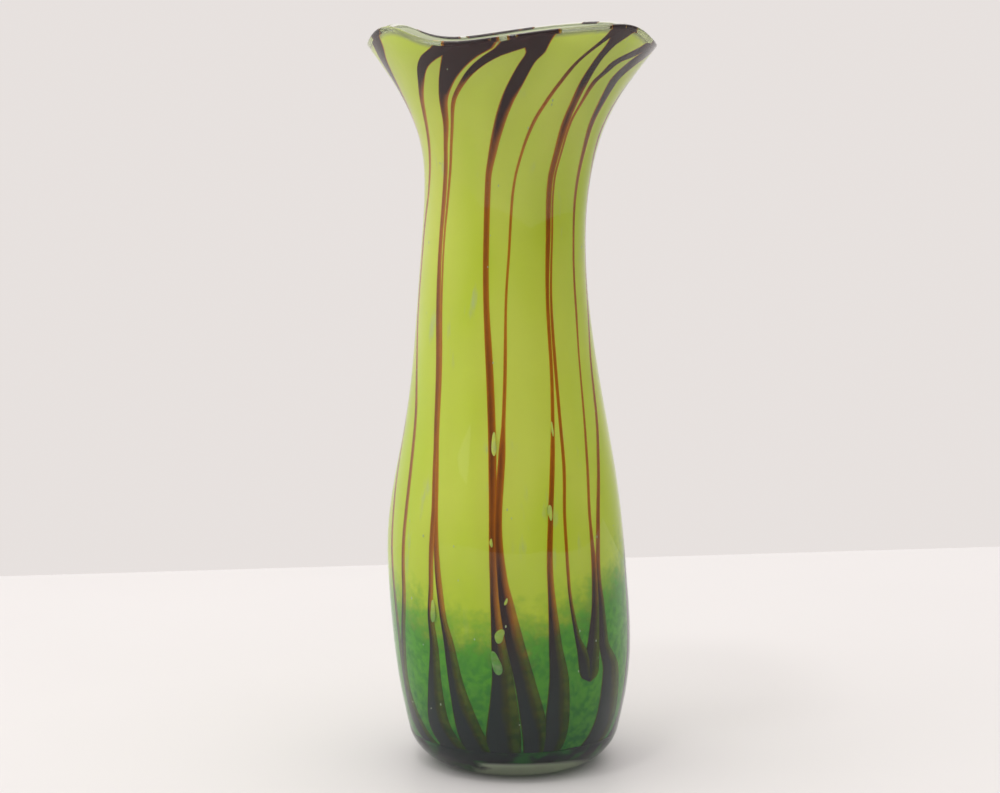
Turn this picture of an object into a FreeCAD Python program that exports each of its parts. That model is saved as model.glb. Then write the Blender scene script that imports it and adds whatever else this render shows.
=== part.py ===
import FreeCAD, Part
import math
import os

# Hand blown art glass vase: layers of glass over one another, and dark trails between them.
# The origin is the middle of the foot, on the surface that the vase stands on. +Z is up and the
# front faces -Y. Lengths are in millimetres.

V = FreeCAD.Vector
doc = FreeCAD.newDocument("GlassVase")

# ---------------------------------------------------------------------------------------------
# Driving dimensions
# ---------------------------------------------------------------------------------------------

SIZES = [
    # rise of each ring above the one below it
    ("heel_rise", 15.0), ("low_rise", 17.0), ("belly_rise", 43.0), ("shoulder_rise", 43.0),
    ("taper_rise", 42.0), ("waist_rise", 62.0), ("flare_rise", 28.0), ("bell_rise", 24.0),
    ("lip_rise", 16.0), ("mouth_rise", 15.0),
    # half the outside width at each ring
    ("foot_radius", 40.5), ("heel_radius", 44.2), ("low_radius", 47.6), ("belly_radius", 49.8),
    ("shoulder_radius", 46.3), ("taper_radius", 39.0), ("waist_radius", 33.4),
    ("flare_radius", 34.8), ("bell_radius", 43.2), ("lip_radius", 53.8), ("mouth_radius", 65.5),
    # how far each ring leans off the axis: the vase was blown by hand and is not quite straight
    ("foot_shift", 2.0), ("heel_shift", 1.3), ("low_shift", 1.2), ("belly_shift", -1.1),
    ("shoulder_shift", -2.2), ("taper_shift", -2.3), ("waist_shift", -2.8), ("flare_shift", -1.0),
    ("bell_shift", -0.2), ("lip_shift", 0.4), ("mouth_shift", 0.4),
    # depth of the vase from front to back, as a share of its width
    ("roundness", 1.01),
    # glass thicknesses, from the outside in
    ("cover_wall", 1.6), ("trail_wall", 1.0), ("powder_wall", 0.5), ("lime_wall", 0.5),
    ("lining_wall", 1.2),
    ("base_wall", 8.0),         # clear glass under the dark pool
    ("heel_round", 14.0),       # rounding of the outside, at the foot
    ("bubble_round", 20.0),     # rounding of the coloured bubble's own bottom
    ("pool_rise", 7.0),         # the dark pool climbs this far up the bubble
    ("clear_lip", 2.0),         # clear glass above the edge of the colour
    ("trail_tuck", 0.4),        # the trails stop this far below the edge of the colour
    # how far each point of the wavy rim drops below the overall height
    ("left_tip_drop", 7.9), ("left_lobe_drop", 2.8), ("left_slope_drop", 3.2), ("dip_drop", 6.2),
    ("right_slope_drop", 2.6), ("right_lobe_drop", 0.4), ("right_shoulder_drop", 2.2),
    ("right_tip_drop", 7.5),
    ("rim_slope", 0.018),       # rise of the rim from front to back, as a share of the depth
    # upper edge of the powder band above the foot: its high and its low points
    ("powder_crest", 64.0), ("powder_trough", 54.0),
    # the ground and polished hollow where the rod was broken off
    ("pontil_radius", 15.0), ("pontil_depth", 1.2),
]

RINGS = ["foot", "heel", "low", "belly", "shoulder", "taper", "waist", "flare", "bell", "lip", "mouth"]
CORE_RINGS = [ring for ring in RINGS if ring not in ("foot", "heel")]


def fill_sheet():
    """Writes the sizes, the height of each ring, and the depth of each layer below the surface."""
    sheet = doc.addObject("Spreadsheet::Sheet", "Sizes")
    rows = [(name, str(value)) for name, value in SIZES]
    rows.append(("foot_height", "=0"))
    for below, ring in zip(RINGS, RINGS[1:]):
        rows.append((ring + "_height", f"={below}_height + {ring}_rise"))
    rows += [
        ("overall_height", "=mouth_height"),
        ("trail_depth", "=cover_wall"),
        ("colour_depth", "=trail_depth + trail_wall"),
        ("powder_depth", "=colour_depth + powder_wall"),
        ("lining_depth", "=powder_depth + lime_wall"),
        ("bore_depth", "=lining_depth + lining_wall"),
        ("pool_top", "=base_wall + trail_wall + pool_rise"),
        ("pontil_ball_radius", "=(pontil_radius ^ 2 + pontil_depth ^ 2) / (2 * pontil_depth)"),
    ]
    for number, (name, value) in enumerate(rows, start=1):
        sheet.set(f"A{number}", name)
        sheet.set(f"B{number}", value)
        sheet.setAlias(f"B{number}", name)
    doc.recompute()
    return sheet


sheet = fill_sheet()


def size(name):
    return float(getattr(sheet, name))


# ---------------------------------------------------------------------------------------------
# Whole forms: one filled shape for each surface of the wall
# ---------------------------------------------------------------------------------------------

def add(kind, name, **properties):
    made = doc.addObject(kind, name)
    for key, value in properties.items():
        setattr(made, key, value)
    return made


def ellipse(name, height, radius, shift, depth):
    """A level ring; its height, radius and shift are expressions on the sheet."""
    ring = add("Part::Ellipse", name, Placement=FreeCAD.Placement(V(), FreeCAD.Rotation(V(0, 0, 1), 90)))
    ring.setExpression("MajorRadius", f"({radius}) * Sizes.roundness - ({depth})")
    ring.setExpression("MinorRadius", f"({radius}) - ({depth})")
    ring.setExpression("Placement.Base.x", shift)
    ring.setExpression("Placement.Base.z", height)
    return ring


def ring_at(form, ring, depth):
    return ellipse(f"{form}_{ring}_ring", f"Sizes.{ring}_height", f"Sizes.{ring}_radius",
                   f"Sizes.{ring}_shift", depth)


def overshoot_ring(form, depth):
    """One ring more above the mouth, in line with the last two, so that the rim can be cut."""
    return ellipse(f"{form}_top_ring",
                   "2 * Sizes.mouth_height - Sizes.lip_height",
                   "2 * Sizes.mouth_radius - Sizes.lip_radius",
                   "2 * Sizes.mouth_shift - Sizes.lip_shift", depth)


def floor_ring(form, floor, depth):
    """The lowest ring of an inner form, on the wall's line between the foot and the low ring."""
    share = f"({floor}) / Sizes.low_height"
    radius = f"Sizes.foot_radius + (Sizes.low_radius - Sizes.foot_radius) * {share}"
    shift = f"Sizes.foot_shift + (Sizes.low_shift - Sizes.foot_shift) * {share}"
    return ellipse(f"{form}_floor_ring", floor, radius, shift, depth)


def loft(name, sections):
    made = add("Part::Loft", name, Sections=sections, Solid=True, Ruled=False, Closed=False)
    doc.recompute()
    return made


def rounded_floor(name, form, radius):
    """Rounds the edge round the form's flat floor."""
    lowest = form.Shape.BoundBox.ZMin
    picked = [(number, radius, radius) for number, edge in enumerate(form.Shape.Edges, start=1)
              if edge.BoundBox.ZMax < lowest + 0.01]
    made = add("Part::Fillet", name, Base=form, Edges=picked)
    doc.recompute()
    return made


def outer_form():
    sections = [ring_at("outside", ring, "0") for ring in RINGS] + [overshoot_ring("outside", "0")]
    return rounded_floor("outside_form", loft("outside_loft", sections), size("heel_round"))


def inner_form(form, depth_name, floor):
    """The filled form of a surface that lies some depth inside the outer one."""
    depth = f"Sizes.{depth_name}"
    sections = [floor_ring(form, floor, depth)]
    sections += [ring_at(form, ring, depth) for ring in CORE_RINGS]
    sections.append(overshoot_ring(form, depth))
    inset_from_trails = size(depth_name) - size("trail_depth")
    rounding = size("bubble_round") - inset_from_trails
    return rounded_floor(form + "_form", loft(form + "_loft", sections), rounding)


outside = outer_form()
trail_form = inner_form("trail", "trail_depth", "Sizes.base_wall")
colour_form = inner_form("colour", "colour_depth", "Sizes.base_wall + Sizes.trail_wall")
powder_form = inner_form("powder", "powder_depth",
                         "Sizes.base_wall + Sizes.trail_wall + Sizes.powder_wall")
lining_form = inner_form("lining", "lining_depth",
                         "Sizes.base_wall + Sizes.trail_wall + Sizes.powder_wall + Sizes.lime_wall")
bore = inner_form("bore", "bore_depth",
                  "Sizes.base_wall + Sizes.trail_wall + Sizes.powder_wall + Sizes.lime_wall"
                  " + Sizes.lining_wall")

# ---------------------------------------------------------------------------------------------
# Wavy edges: the rim, and the upper edge of the powder
# ---------------------------------------------------------------------------------------------

BEYOND = 30.0               # tools reach this far past the glass


def wave_block(name, points, far_height, slope=0.0):
    """Everything between a wavy line across the vase and far_height, from front to back."""
    reach = size("mouth_radius") + BEYOND
    line = Part.BSplineCurve()
    knots = [V(x, -reach, z - slope * reach) for x, z in points]
    line.interpolate(knots)
    corners = [knots[-1], V(knots[-1].x, -reach, far_height), V(knots[0].x, -reach, far_height),
               knots[0]]
    edges = [line.toShape()] + [Part.makeLine(a, b) for a, b in zip(corners, corners[1:])]
    outline = add("Part::Feature", name + "_outline", Shape=Part.Face(Part.Wire(edges)))
    return add("Part::Extrusion", name, Base=outline, DirMode="Custom", Dir=V(0, 1, slope),
               LengthFwd=2 * reach, Solid=True)


def rim_points(lower):
    """The rim seen from the front, from its left tip to its right tip, lowered by some amount."""
    top = size("overall_height") - lower
    span = size("mouth_radius")
    drops = [(-0.915, "left_tip_drop"), (-0.86, "left_lobe_drop"), (-0.62, "left_slope_drop"),
             (-0.17, "dip_drop"), (0.22, "right_slope_drop"), (0.62, "right_lobe_drop"),
             (0.80, "right_shoulder_drop"), (0.915, "right_tip_drop")]
    points = [(share * span, top - size(drop)) for share, drop in drops]
    left = (-span - BEYOND, points[0][1] - 6 * size("left_tip_drop"))
    right = (span + BEYOND, points[-1][1] - 3 * size("right_tip_drop"))
    return [left] + points + [right]


def powder_points():
    crest, trough = size("powder_crest"), size("powder_trough")
    reach = size("belly_radius") + BEYOND
    count = 8
    heights = [crest if number % 2 else trough for number in range(count + 1)]
    return [(-reach + 2 * reach * number / count, z) for number, z in enumerate(heights)]


above = 2 * size("overall_height")
slope = size("rim_slope")
rim_cut = wave_block("rim_cut", rim_points(0), above, slope)
colour_cut = wave_block("colour_cut", rim_points(size("clear_lip")), above, slope)
trail_cut = wave_block("trail_cut", rim_points(size("clear_lip") + size("trail_tuck")), above, slope)
powder_block = wave_block("powder_block", powder_points(), -BEYOND)

# ---------------------------------------------------------------------------------------------
# Trails of dark glass
# ---------------------------------------------------------------------------------------------

# Each trail's course from the lip down: height, degrees round from the front (to the right is
# plus), width. The heights are for a vase of chart_height and stretch with it. A last height of
# 0 takes the trail down into the dark pool.
CHART_HEIGHT = 305.0
LEFT_EDGE = [(305, -70, 9), (291, -78, 7), (283, -82, 4.5), (262, -88, 2.6), (235, -95, 2.2),
             (200, -97, 2.4), (165, -95, 2.4), (127, -87, 2.6), (103, -80, 2.6), (78, -76.5, 2.8),
             (58, -76, 3)]
LEFT = [(305, -25, 8), (289, -43, 5.5), (275, -56, 2.8), (255, -67, 2.2), (220, -81, 2.6),
        (193, -82, 2.6), (150, -68, 2.4), (105, -63, 2.4), (70, -65, 3.2), (40, -69, 5.5),
        (24, -66, 8), (0, -65, 8)]
SWEEP = [(305, -14, 9.5), (290, -26, 9), (283, -33, 6.5), (275, -39, 4.2), (262, -45, 2.6),
         (237, -51.5, 2.4), (200, -51, 2.6), (150, -45, 2.6), (108, -39.5, 2.6), (70, -42, 3),
         (45, -43.5, 6), (26, -45, 10), (0, -43, 12)]
SWEEP_THREAD = [(305, 0, 9), (290, -12, 6.5), (283, -22, 3.2), (275, -31.5, 2.2), (262, -39, 1.5),
                (237, -46.3, 1.3), (200, -46.3, 1.1), (150, -41.3, 1.1), (108, -35.5, 1.6),
                (70, -33.5, 3.4), (45, -29.5, 7), (26, -26, 9.5), (0, -24, 10)]
MIDDLE = [(305, 12, 12), (291, 6.5, 6.2), (283, 2, 6), (268, -6, 4.6), (244, -14, 2.5),
          (200, -12, 2.4), (150, -9, 3), (108, -7, 2.8), (70, -7, 3.8), (45, -6, 8), (28, -7, 11),
          (0, -8, 12)]
MIDDLE_THREAD = [(305, 40, 3.5), (291, 28.5, 2), (275, 19, 1.8), (256, 8.5, 1.3), (237, 4.3, 1.2),
                 (196, 2, 1.1), (170, 0, 1.2), (140, -3.5, 1.2), (110, -2.5, 1.6), (86, -1.5, 2.4),
                 (62, 3, 5), (44, 7, 7), (28, 10.5, 8.5), (0, 13, 8)]
RIGHT = [(305, 46, 9), (297, 41, 5), (283, 37, 4.2), (262, 34, 3.2), (244, 31.5, 2.5),
         (220, 32.5, 2.2), (172, 31, 1.6), (150, 28, 1.7), (108, 23, 2.4), (85, 21, 2.8),
         (60, 21.5, 5.5), (42, 24, 8), (27, 26, 8.5), (0, 27, 8)]
RIGHT_THREAD = [(305, 68, 7), (292, 55, 8), (286, 46.5, 3.6), (275, 41.5, 1.8), (256, 37.5, 1.1),
                (237, 36, 1), (196, 36, 1.1), (172, 34.8, 1.5), (148, 33.5, 1.5), (108, 31, 1.5),
                (84, 31, 1.5), (62, 33, 2.4), (50, 37, 4)]
OUTER = [(305, 90, 9), (292, 73, 10), (283, 59, 5.5), (267, 57.5, 3.6), (243, 58.5, 2.1),
         (196, 59.5, 1.6), (148, 53, 1.4), (108, 47.5, 1.6), (91, 47, 2.6), (74, 46, 3.6),
         (58, 44.5, 5), (44, 44, 5.5)]
RIGHT_EDGE = [(305, 104, 8), (290, 90, 5), (275, 80, 3.4), (262, 78, 2.9), (240, 86, 3),
              (218, 88, 3), (193, 82.5, 2.6), (170, 72, 2), (145, 65, 2.2), (130, 60, 2.2),
              (106, 54, 2.4), (82, 51.5, 3), (62, 53, 5), (45, 58, 9), (30, 59, 12), (0, 58, 12)]
SIDE = [(305, 120, 7), (283, 112, 4), (262, 108, 3), (220, 112, 2.4), (172, 104, 2), (130, 96, 2.2),
        (100, 90, 2.6), (80, 83, 3.4), (55, 82, 7), (38, 82, 9), (26, 83, 9), (0, 84, 8)]
LEFT_BACK = [(305, -100, 6), (283, -101, 3.6), (262, -104, 2.6), (220, -112, 2.2), (172, -113, 1.8),
             (130, -110, 2), (100, -104, 2.4), (80, -100, 3), (58, -98, 5.5), (40, -95, 8),
             (26, -94, 9), (0, -94, 9)]

# The trails in order round the vase, each with its course and how far that course is turned.
TRAILS = [(LEFT_EDGE, 0), (LEFT, 0), (SWEEP, 0), (SWEEP_THREAD, 0), (MIDDLE, 0),
          (MIDDLE_THREAD, 0), (RIGHT, 0), (RIGHT_THREAD, 0), (OUTER, 0), (RIGHT_EDGE, 0), (SIDE, 0),
          (RIGHT_EDGE, 44), (OUTER, 88), (SWEEP, 205), (SWEEP_THREAD, 205), (MIDDLE, 205),
          (MIDDLE_THREAD, 205), (RIGHT, 205), (LEFT_BACK, 0)]

DEEP, PROUD = 14.0, 4.0     # a trail's cutter reaches this far inside and outside the wall


def wall_at(height):
    """Half the outside width, and the shift, at a height, in straight lines between the rings."""
    for below, ring in zip(RINGS, RINGS[1:] + ["mouth"]):
        low, high = size(below + "_height"), size(ring + "_height")
        if height <= high:
            break
    share = (height - low) / (high - low)
    radius = size(below + "_radius") * (1 - share) + size(ring + "_radius") * share
    shift = size(below + "_shift") * (1 - share) + size(ring + "_shift") * share
    return radius, shift


def trail_section(height, degrees, width):
    """A level four-cornered outline across the wall, as wide as the trail."""
    radius, shift = wall_at(height)
    half = width / 2 / (radius - size("colour_depth"))
    middle = math.radians(degrees)
    corners = []
    for reach, side in [(-DEEP, -half), (-DEEP, half), (PROUD, half), (PROUD, -half)]:
        angle = middle + side
        along = radius + reach
        corners.append(V(shift + along * math.sin(angle),
                         -along * math.cos(angle) * size("roundness"), height))
    return Part.makePolygon(corners + corners[:1])


def trail_cutter(name, course, turned):
    """The radial strip that a trail is cut with, from its head above the rim to its tail."""
    stretch = size("overall_height") / CHART_HEIGHT
    sections = []
    for height, degrees, width in course:
        level = max(height * stretch, size("pool_top"))
        sections.append(trail_section(level, degrees + turned, width))
    return add("Part::Feature", name, Shape=Part.makeLoft(sections, True, False))


trail_form_below_rim = add("Part::Cut", "trail_form_below_rim", Base=trail_form, Tool=trail_cut)
trail_bars = []
for number, (course, turned) in enumerate(TRAILS, start=1):
    cutter = trail_cutter(f"trail_cutter_{number:02d}", course, turned)
    trail_bars.append(add("Part::Common", f"trail_bar_{number:02d}", Base=trail_form_below_rim, Tool=cutter))

# ---------------------------------------------------------------------------------------------
# Sub-parts
# ---------------------------------------------------------------------------------------------

parts = []


def sub_part(made, label):
    made.Label = label
    parts.append(made)
    return made


def make_dark_trails():
    for number, bar in enumerate(trail_bars, start=1):
        name = f"dark_trail_{number:02d}"
        sub_part(add("Part::Cut", name, Base=bar, Tool=colour_form), name)


def pool_block():
    """A block that reaches from below the foot up to the top of the dark pool."""
    block = add("Part::Box", "pool_block")
    reach = 2 * (size("belly_radius") + BEYOND)
    block.Length = block.Width = reach
    block.Placement.Base = V(-reach / 2, -reach / 2, -BEYOND)
    block.setExpression("Height", f"Sizes.pool_top + {BEYOND}")
    return block


def make_dark_base_pool(dish):
    sub_part(add("Part::Cut", "dark_base_pool", Base=dish, Tool=colour_form), "dark_base_pool")


def make_inner_lining():
    below_rim = add("Part::Cut", "lining_below_rim", Base=lining_form, Tool=colour_cut)
    sub_part(add("Part::Cut", "inner_lining", Base=below_rim, Tool=bore), "inner_lining")


def make_green_powder_band():
    low_colour = add("Part::Common", "colour_in_powder", Base=colour_form, Tool=powder_block)
    sub_part(add("Part::Cut", "green_powder_band", Base=low_colour, Tool=powder_form),
             "green_powder_band")


def make_lime_overlay(colour_below_rim):
    layer = add("Part::Cut", "colour_layer", Base=colour_below_rim, Tool=lining_form)
    powder_bed = add("Part::Cut", "powder_bed", Base=powder_block, Tool=powder_form)
    sub_part(add("Part::Cut", "lime_overlay", Base=layer, Tool=powder_bed), "lime_overlay")


def pontil_hollow():
    """A ball that meets the foot in a shallow round hollow."""
    ball = add("Part::Sphere", "pontil_ball")
    ball.setExpression("Radius", "Sizes.pontil_ball_radius")
    ball.setExpression("Placement.Base.x", "Sizes.foot_shift")
    ball.setExpression("Placement.Base.z", "Sizes.pontil_depth - Sizes.pontil_ball_radius")
    return ball


def make_clear_casing(colour_below_rim):
    """The outside form less the bore, the layer of the trails, the colour and the pontil hollow."""
    below_rim = add("Part::Cut", "outside_below_rim", Base=outside, Tool=rim_cut)
    hollow = add("Part::Cut", "outside_bored", Base=below_rim, Tool=bore)
    layers = add("Part::MultiFuse", "layers_inside", Shapes=[trail_form_below_rim, colour_below_rim])
    emptied = add("Part::Cut", "casing_without_layers", Base=hollow, Tool=layers)
    sub_part(add("Part::Cut", "clear_casing", Base=emptied, Tool=pontil_hollow()), "clear_casing")


colour_below_rim = add("Part::Cut", "colour_below_rim", Base=colour_form, Tool=colour_cut)
pool_dish = add("Part::Common", "pool_dish", Base=trail_form, Tool=pool_block())
make_inner_lining()
make_green_powder_band()
make_lime_overlay(colour_below_rim)
make_dark_base_pool(pool_dish)
make_dark_trails()
make_clear_casing(colour_below_rim)
doc.recompute()

# ---------------------------------------------------------------------------------------------
# Checks and files
# ---------------------------------------------------------------------------------------------

def check_document():
    for made in doc.Objects:
        if "Invalid" in made.State or "Error" in made.State:
            raise RuntimeError(f"{made.Name} failed: {made.State}")
    for part in parts:
        if part.Shape.isNull() or not part.Shape.isValid():
            raise RuntimeError(f"{part.Label} has no valid shape")
        if len(part.Shape.Solids) != 1:
            raise RuntimeError(f"{part.Label} has {len(part.Shape.Solids)} solids, not one")


check_document()
os.makedirs("parts", exist_ok=True)
for part in parts:
    part.Shape.exportStep(f"parts/{part.Label}.step")
    box = part.Shape.BoundBox
    print(f"{part.Label}: {part.Shape.Volume:.0f} mm3, z {box.ZMin:.1f} to {box.ZMax:.1f}")
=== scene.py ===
import math

import bpy
import numpy as np
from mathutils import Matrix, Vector
from mathutils.bvhtree import BVHTree


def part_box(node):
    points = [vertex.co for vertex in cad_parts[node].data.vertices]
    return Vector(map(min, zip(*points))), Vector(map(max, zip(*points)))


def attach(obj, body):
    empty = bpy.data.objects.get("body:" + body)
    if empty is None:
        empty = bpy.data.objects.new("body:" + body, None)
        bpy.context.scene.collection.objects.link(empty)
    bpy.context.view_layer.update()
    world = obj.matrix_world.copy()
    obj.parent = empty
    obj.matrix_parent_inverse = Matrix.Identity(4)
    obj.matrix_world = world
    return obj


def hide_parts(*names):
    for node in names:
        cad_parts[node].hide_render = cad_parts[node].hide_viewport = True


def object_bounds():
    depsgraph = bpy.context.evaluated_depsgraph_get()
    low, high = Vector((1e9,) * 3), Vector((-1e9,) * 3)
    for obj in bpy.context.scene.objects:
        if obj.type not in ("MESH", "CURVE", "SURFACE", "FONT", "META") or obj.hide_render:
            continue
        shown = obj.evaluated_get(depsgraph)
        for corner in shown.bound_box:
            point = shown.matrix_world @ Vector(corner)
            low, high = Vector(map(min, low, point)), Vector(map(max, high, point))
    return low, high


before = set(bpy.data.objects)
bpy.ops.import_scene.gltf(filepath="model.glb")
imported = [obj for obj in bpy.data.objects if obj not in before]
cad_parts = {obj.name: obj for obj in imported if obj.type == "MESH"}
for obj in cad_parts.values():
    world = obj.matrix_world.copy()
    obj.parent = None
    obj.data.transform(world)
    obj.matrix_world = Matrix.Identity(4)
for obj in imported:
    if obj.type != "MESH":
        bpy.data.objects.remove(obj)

bl_info = {
    "name": "Hand blown art glass vase",
    "version": (1, 0, 0),
    "blender": (4, 5, 0),
    "location": "View3D > Sidebar > Vase",
    "description": "Blows the vase's clear, lime, green and dark glass round the packed model",
    "category": "Object",
}

MM = 0.001
CAD_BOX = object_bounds()
HEIGHT = CAD_BOX[1].z

ROUND = 224                 # points round the vase in each ring
SMALL_ROUND = 96            # points round the foot and the sheet that the seeds lie on
SHELL_ROWS = 170            # rings from the foot to the lip
POWDER_ROWS = 40
POOL_ROWS = 8
SEED_ROWS = 60
TUCK = 0.15 * MM            # how far the clear glass reaches into the colour
LIFT = 0.03 * MM            # how far the powder stands proud of the lime
LIP_SHARE = 0.42            # height of the rounded lip, as a share of the wall

# ---------------------------------------------------------------------------------------------
# Sizes and colours
# ---------------------------------------------------------------------------------------------


def length(name, description, default_mm):
    return bpy.props.FloatProperty(name=name, description=description, default=default_mm * MM,
                                   subtype="DISTANCE", unit="LENGTH", precision=5)


def colour(name, description, red, green, blue):
    return bpy.props.FloatVectorProperty(name=name, description=description, subtype="COLOR",
                                         size=3, min=0.0, max=1.0, default=(red, green, blue))


class VaseSizes(bpy.types.PropertyGroup):
    """Glass thicknesses from the outside in, and the rim's wave"""
    cover_wall: length("Cover", "Clear glass over the trails", 1.6)
    trail_wall: length("Trails", "Height of a trail above the lime glass", 1.0)
    lime_wall: length("Lime", "Thickness of the lime glass with its powder", 1.0)
    lining_wall: length("Lining", "Thickness of the opal lining", 1.2)
    base_wall: length("Base", "Clear glass under the dark pool", 8.0)
    heel_round: length("Heel rounding", "Radius of the outside edge at the foot", 14.0)
    bubble_round: length("Bubble rounding", "Radius at the bottom of the coloured bubble", 19.0)
    pool_drop: length("Pool drop", "How far the dark pool's edge stays below its highest point", 3.5)
    seed_size: length("Seed size", "Half the width of the largest seed", 0.32)
    seed_density: bpy.props.FloatProperty(
        name="Seed density", description="Seeds on a square metre of glass", default=1100.0)
    clear_lip: length("Clear lip", "Clear glass above the edge of the colour", 2.0)
    pontil_radius: length("Pontil radius", "Radius of the polished hollow under the foot", 15.0)
    pontil_depth: length("Pontil depth", "Depth of the polished hollow under the foot", 1.2)
    overall_height: length("Height", "Height that the rim's drops are measured from", 306.3)
    left_tip_drop: length("Left tip", "Drop of the rim's left tip", 9.2)
    left_lobe_drop: length("Left lobe", "Drop of the rim's left lobe", 4.3)
    left_slope_drop: length("Left slope", "Drop of the rim right of its left lobe", 4.0)
    dip_drop: length("Dip", "Drop of the rim's middle", 5.4)
    right_slope_drop: length("Right slope", "Drop of the rim left of its right lobe", 2.1)
    right_lobe_drop: length("Right lobe", "Drop of the rim's right lobe", 0.1)
    right_shoulder_drop: length("Right shoulder", "Drop of the rim right of its right lobe", 2.3)
    right_tip_drop: length("Right tip", "Drop of the rim's right tip", 8.4)
    rim_slope: bpy.props.FloatProperty(
        name="Rim slope", description="Rise of the rim from front to back, by its depth", default=0.018)


class VaseColours(bpy.types.PropertyGroup):
    """Colours of the glasses and of the stage"""
    lime: colour("Lime", "Opaque lime glass", 0.84, 0.955, 0.16)
    lime_deep: colour("Deep lime", "Thicker lime glass", 0.70, 0.87, 0.05)
    lime_low: colour("Low lime", "Lime glass just above the powder", 0.66, 0.86, 0.03)
    lime_grey: colour("Grey streaks", "Bluish grey streaks in the lime", 0.60, 0.72, 0.44)
    green: colour("Emerald", "Powder glass near the foot", 0.13, 0.52, 0.035)
    green_deep: colour("Deep emerald", "Powder glass where it is dense", 0.020, 0.20, 0.030)
    amber: colour("Amber", "Stain of thin dark glass", 0.92, 0.33, 0.08)
    brown: colour("Brown", "Stain of dark glass of middle thickness", 0.60, 0.15, 0.10)
    dark: colour("Aubergine", "Thick dark glass", 0.034, 0.007, 0.008)
    slate: colour("Slate", "Dark glass over the emerald", 0.022, 0.036, 0.038)
    opal: colour("Opal", "Lining of the vase", 0.44, 0.47, 0.32)
    clear: colour("Clear", "Clear casing", 0.96, 0.985, 0.94)
    # Painted light: a pale colour standing for floor light refracted through the thick clear base, used
    # on the foot ring and on the pool's underside
    ground: colour("Ground foot", "Pale ground glass of the foot", 0.93, 1.0, 0.84)
    # Painted light: this pale grey-green stands for light reflected off trapped air, used on the seeds
    # and the drawn-out bubbles
    bubble: colour("Bubble", "Trapped air", 0.55, 0.68, 0.42)
    floor: colour("Floor", "Table top", 0.695, 0.695, 0.70)
    room: colour("Room", "Light of the room", 0.80, 0.755, 0.735)


def sizes():
    return bpy.context.scene.vase_sizes


def colours():
    return bpy.context.scene.vase_colours


# ---------------------------------------------------------------------------------------------
# Curves
# ---------------------------------------------------------------------------------------------


def round_curve(xs, ys):
    """A natural cubic spline through the points, straight on beyond them."""
    xs, ys = np.asarray(xs, float), np.asarray(ys, float)
    count, step = len(xs), np.diff(xs)
    system, right = np.eye(count), np.zeros(count)
    for i in range(1, count - 1):
        system[i, i - 1:i + 2] = step[i - 1], 2 * (step[i - 1] + step[i]), step[i]
        right[i] = 6 * ((ys[i + 1] - ys[i]) / step[i] - (ys[i] - ys[i - 1]) / step[i - 1])
    bend = np.linalg.solve(system, right)
    slopes = np.diff(ys) / step
    first = slopes[0] - step[0] * (2 * bend[0] + bend[1]) / 6
    last = slopes[-1] + step[-1] * (bend[-2] + 2 * bend[-1]) / 6

    def value(x):
        x = np.asarray(x, float)
        inside = np.clip(x, xs[0], xs[-1])
        i = np.clip(np.searchsorted(xs, inside) - 1, 0, count - 2)
        h, a, b = step[i], xs[i + 1] - inside, inside - xs[i]
        y = (bend[i] * a ** 3 + bend[i + 1] * b ** 3) / (6 * h)
        y = y + (ys[i] / h - bend[i] * h / 6) * a + (ys[i + 1] / h - bend[i + 1] * h / 6) * b
        return y + np.minimum(x - xs[0], 0) * first + np.maximum(x - xs[-1], 0) * last

    return value


def tight_curve(xs, ys):
    """A smooth curve through the points that never swings past them."""
    xs, ys = np.asarray(xs, float), np.asarray(ys, float)
    step = np.diff(xs)
    slope = np.diff(ys) / step
    tangent = np.zeros(len(xs))
    tangent[0], tangent[-1] = slope[0], slope[-1]
    for i in range(1, len(xs) - 1):
        if slope[i - 1] * slope[i] > 0:
            before, after = 2 * step[i] + step[i - 1], step[i] + 2 * step[i - 1]
            tangent[i] = (before + after) / (before / slope[i - 1] + after / slope[i])

    def value(x):
        x = np.clip(np.asarray(x, float), xs[0], xs[-1])
        i = np.clip(np.searchsorted(xs, x) - 1, 0, len(xs) - 2)
        h = step[i]
        t = (x - xs[i]) / h
        rise = ys[i] * (1 + 2 * t) * (1 - t) ** 2 + ys[i + 1] * t * t * (3 - 2 * t)
        return rise + h * (tangent[i] * t * (1 - t) ** 2 - tangent[i + 1] * t * t * (1 - t))

    return value


def ease(x, low, high):
    t = np.clip((np.asarray(x, float) - low) / (high - low), 0, 1)
    return t * t * (3 - 2 * t)


# ---------------------------------------------------------------------------------------------
# The vase's wall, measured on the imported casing
# ---------------------------------------------------------------------------------------------

RING_SHARES = (0.05, 0.105, 0.17, 0.246, 0.315, 0.387, 0.455, 0.525, 0.59, 0.66, 0.728, 0.775, 0.82,
               0.86, 0.898, 0.93, 0.957)


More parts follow.
